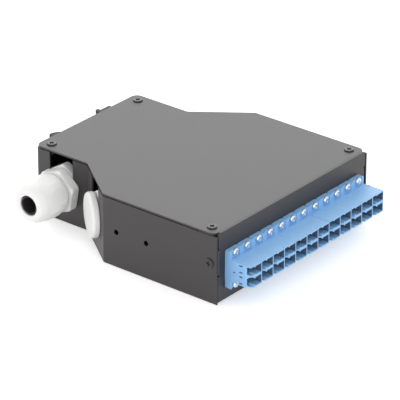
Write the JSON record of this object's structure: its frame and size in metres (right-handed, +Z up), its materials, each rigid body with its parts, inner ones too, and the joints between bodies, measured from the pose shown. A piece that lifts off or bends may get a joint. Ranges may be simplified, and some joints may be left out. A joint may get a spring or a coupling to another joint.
{
  "type": "din rail fibre box",
  "caption": "Flat folded-steel fibre splice box with a tapered back, stacked LC adapters across its front, a cable gland, a blanked entry and a sprung DIN rail clip.",
  "frame": {"origin": "middle of the flat bottom: centred across the width, half-way from the front panel to the back wall", "axes": "+X to the right seen from the front, +Y to the back where the rail clip is, +Z up from the bottom"},
  "size_m": [0.1326, 0.1656, 0.0408],
  "materials": {
    "black_coat": "satin powder coat",
    "black_screw": "black oxide",
    "zinc_screw": "bright zinc",
    "blue_plastic": "moulded, fine satin",
    "zirconia": "polished",
    "white_nylon": "moulded satin",
    "seal_rubber": "matt",
    "black_nylon": "moulded",
    "spring_steel": "drawn wire",
    "grey_plastic": "moulded",
    "clear_plastic": "natural nylon"
  },
  "bodies": {
    "housing": {"base_tray": "black_coat", "top_cover": "black_coat", "front_panel": "black_coat", "cover_screws": "black_screw", "panel_screws": "black_screw", "lc_adapter_01": "blue_plastic", "lc_adapter_02": "blue_plastic", "lc_adapter_03": "blue_plastic", "lc_adapter_04": "blue_plastic", "lc_adapter_05": "blue_plastic", "lc_adapter_06": "blue_plastic", "lc_adapter_07": "blue_plastic", "lc_adapter_08": "blue_plastic", "lc_adapter_09": "blue_plastic", "lc_adapter_10": "blue_plastic", "lc_adapter_11": "blue_plastic", "lc_adapter_12": "blue_plastic", "sleeve_pair_01": "zirconia", "sleeve_pair_02": "zirconia", "sleeve_pair_03": "zirconia", "sleeve_pair_04": "zirconia", "sleeve_pair_05": "zirconia", "sleeve_pair_06": "zirconia", "sleeve_pair_07": "zirconia", "sleeve_pair_08": "zirconia", "sleeve_pair_09": "zirconia", "sleeve_pair_10": "zirconia", "sleeve_pair_11": "zirconia", "sleeve_pair_12": "zirconia", "adapter_screws": "zinc_screw", "adapter_nuts": "zinc_screw", "gland_body": "white_nylon", "gland_lock_nut": "white_nylon", "blanking_plug": "white_nylon", "plug_lock_nut": "white_nylon", "din_bracket": "black_nylon", "din_spring": "spring_steel", "din_screws": "black_screw", "splice_holder_left": "grey_plastic", "splice_holder_right": "grey_plastic", "fibre_clip_1": "clear_plastic", "fibre_clip_2": "clear_plastic", "fibre_clip_3": "clear_plastic", "fibre_clip_4": "clear_plastic", "cable_saddle": "black_nylon"},
    "rail_latch": {"din_latch": "black_nylon"},
    "gland_seal": {"gland_seal": "seal_rubber"},
    "gland_cap": {"gland_cap_nut": "white_nylon"}
  },
  "joints": [
    {"name": "rail_latch_slide", "type": "slide", "parent": "housing", "child": "rail_latch", "axis": [1, 0, 0], "range_m": [0, 0.0026], "stiffness_N_per_m": 1500, "springref_m": -0.003, "deforming": ["din_spring"]},
    {"name": "gland_seal_shift", "type": "slide", "parent": "housing", "child": "gland_seal", "axis": [-1, 0, 0], "range_m": [0, 0.00412]},
    {"name": "gland_cap_turn", "type": "hinge", "parent": "gland_seal", "child": "gland_cap", "pos_m": [-0.0415, 0.0525, 0.0196], "axis": [-1, 0, 0], "range_deg": [0, 990]}
  ],
  "couplings": [
    {"joint": "gland_cap_turn", "follows": "gland_seal_shift", "rad_per_m": 4188.8}
  ]
}
